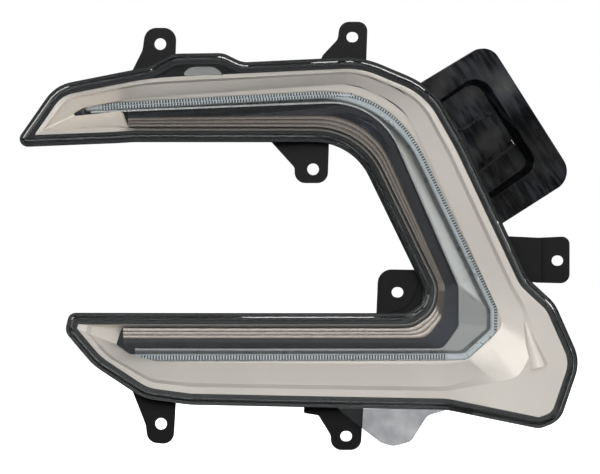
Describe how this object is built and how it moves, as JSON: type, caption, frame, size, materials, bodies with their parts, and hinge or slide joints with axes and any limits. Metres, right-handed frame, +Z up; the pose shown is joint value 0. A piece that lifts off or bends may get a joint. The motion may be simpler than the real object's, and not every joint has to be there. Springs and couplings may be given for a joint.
{
  "type": "front position lamp",
  "caption": "C-shaped front position lamp for a car: a clear lens over a silver bezel and a ribbed light guide, in a black housing with fixing ears.",
  "frame": {"origin": "middle of the round fixing hole in the inner top ear, on the ear's rear face", "axes": "+X outboard along the car's width, +Z up, -Y the way the lens faces"},
  "size_m": [0.3632, 0.0893, 0.2785],
  "materials": {
    "black_plastic": "fine grained",
    "panel_plastic": "satin",
    "clear_lens": "clear, polished",
    "sealant": "matte",
    "silver_bezel": "satin metallised plastic",
    "dark_chrome": "smoked, polished",
    "silver_holder": "satin metallised plastic",
    "guide_plastic": "clear",
    "circuit_board": "solder resist",
    "component_plastic": "moulded",
    "pin_brass": "plated",
    "screw_steel": "zinc plated",
    "led_resin": "resin over a white package",
    "sink_aluminium": "as extruded",
    "cap_rubber": "matte"
  },
  "bodies": {
    "root": {"housing": "black_plastic", "outer_lens": "clear_lens", "lens_seal": "sealant", "outer_bezel": "silver_bezel", "inner_trim": "dark_chrome", "guide_holder": "silver_holder", "light_guide": "guide_plastic", "side_panel": "panel_plastic", "driver_board": "circuit_board", "driver_components": "component_plastic", "connector_pins": "pin_brass", "bezel_screws": "screw_steel", "driver_screws": "screw_steel", "panel_screws": "screw_steel", "upper_led": "led_resin", "upper_led_board": "circuit_board", "upper_heat_sink": "sink_aluminium", "lower_led": "led_resin", "lower_led_board": "circuit_board", "lower_heat_sink": "sink_aluminium", "upper_breather_cap": "cap_rubber", "lower_breather_cap": "cap_rubber"}
  },
  "joints": []
}
